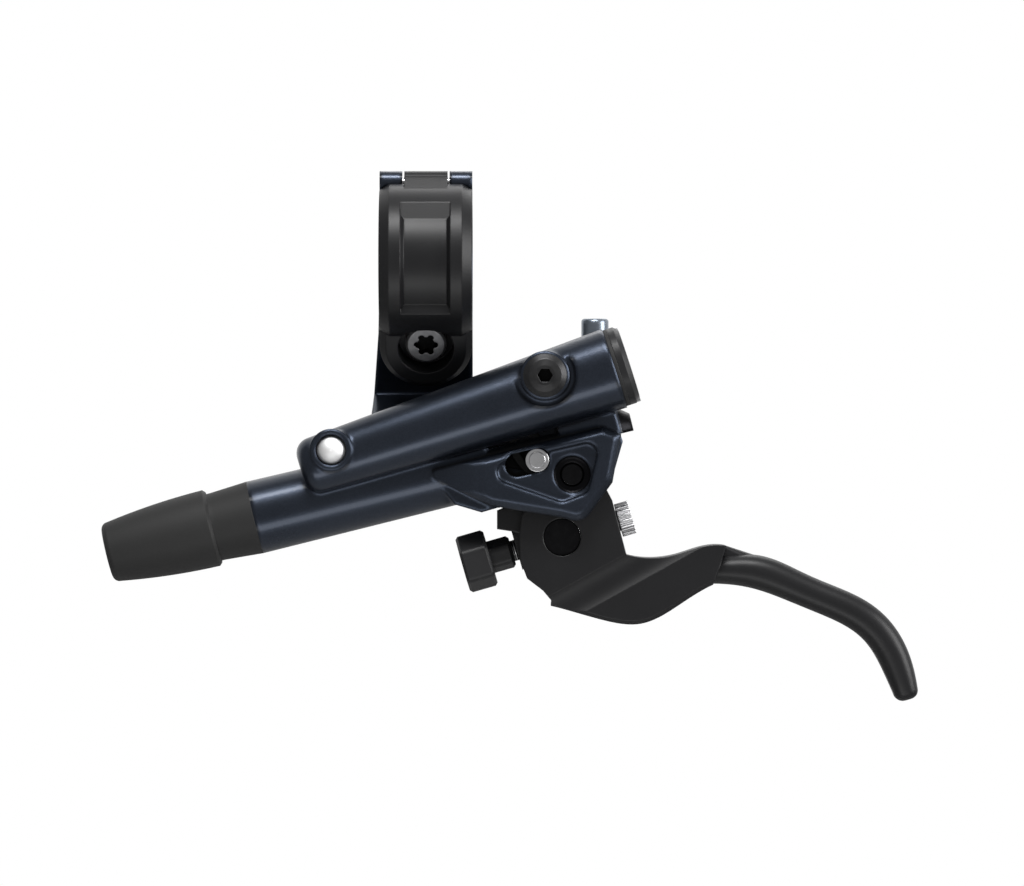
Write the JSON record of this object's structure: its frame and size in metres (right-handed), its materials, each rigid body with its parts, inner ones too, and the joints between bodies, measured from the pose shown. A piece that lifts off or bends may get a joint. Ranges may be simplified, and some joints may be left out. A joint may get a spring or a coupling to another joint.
{
  "type": "bicycle brake lever",
  "caption": "Left-hand hydraulic disc brake lever: cast master cylinder and reservoir with a hinged handlebar clamp, a finger blade on a cam linkage and a reach knob",
  "frame": {"origin": "middle of the clamp's bore, on the axis of the handlebar", "axes": "+X outboard along the handlebar, +Z from the lever towards the bar, +Y away from the side shown"},
  "size_m": [0.155, 0.0354, 0.1006],
  "materials": {
    "body_coat": "semi-gloss metallic",
    "black_anodised": "satin",
    "black_steel": "satin",
    "bright_steel": "bright",
    "polished_steel": "polished",
    "soft_rubber": "matte",
    "black_plastic": "satin",
    "pale_plastic": "matte",
    "olive_brass": "satin"
  },
  "bodies": {
    "body": {"master_cylinder_body": "body_coat", "clamp_saddle": "body_coat", "reservoir_lid": "black_plastic", "reservoir_bladder": "soft_rubber", "lid_screw_lower": "bright_steel", "lid_screw_upper": "bright_steel", "bleed_screw": "black_steel", "bleed_screw_seal": "soft_rubber", "sealing_ball": "polished_steel", "hose_boot": "soft_rubber", "connecting_bolt": "bright_steel", "olive": "olive_brass", "pivot_pin": "black_steel", "pivot_clip": "bright_steel", "clamp_hinge_pin": "bright_steel", "piston_ring": "bright_steel"},
    "band": {"clamp_band": "black_anodised"},
    "bolt": {"clamp_bolt": "black_steel"},
    "piston": {"piston": "pale_plastic", "primary_seal": "soft_rubber", "secondary_seal": "soft_rubber", "pushrod": "black_steel", "cam_pin": "bright_steel", "cam_roller_front": "bright_steel", "cam_roller_back": "bright_steel"},
    "link": {"lever_link": "black_anodised", "link_bush": "pale_plastic"},
    "blade": {"lever_blade": "black_anodised", "barrel_nut": "black_steel", "blade_bush_front": "pale_plastic", "blade_bush_back": "pale_plastic"},
    "knob": {"reach_knob": "black_plastic", "reach_screw": "bright_steel", "reach_screw_end": "bright_steel"}
  },
  "joints": [
    {"name": "lever_pull", "type": "hinge", "parent": "body", "child": "link", "pos_m": [0.0277, 0, -0.0407], "axis": [0, -1, 0], "range_deg": [0, 22], "stiffness_Nm_per_rad": 0.35, "springref_deg": -11.46},
    {"name": "piston_stroke", "type": "slide", "parent": "body", "child": "piston", "axis": [-0.972, 0, -0.2351], "range_m": [0, 0.0037]},
    {"name": "reach_adjust", "type": "hinge", "parent": "link", "child": "blade", "pos_m": [0.0277, 0, -0.0407], "axis": [0, -1, 0], "range_deg": [-4, 4]},
    {"name": "knob_turn", "type": "hinge", "parent": "link", "child": "knob", "pos_m": [0.0258, 0, -0.0526], "axis": [0.9613, 0, 0.2756], "range_deg": [-345, 345]},
    {"name": "clamp_open", "type": "hinge", "parent": "body", "child": "band", "pos_m": [0, 0, 0.0148], "axis": [-1, 0, 0], "range_deg": [0, 5]},
    {"name": "bolt_back_out", "type": "slide", "parent": "body", "child": "bolt", "axis": [0, -0.866, -0.5], "range_m": [0, 0.00285]}
  ],
  "couplings": [
    {"joint": "piston_stroke", "follows": "lever_pull", "m_per_rad": 0.009636},
    {"joint": "knob_turn", "follows": "reach_adjust", "ratio": 85.6},
    {"joint": "bolt_back_out", "follows": "clamp_open", "m_per_rad": 0.032658}
  ]
}
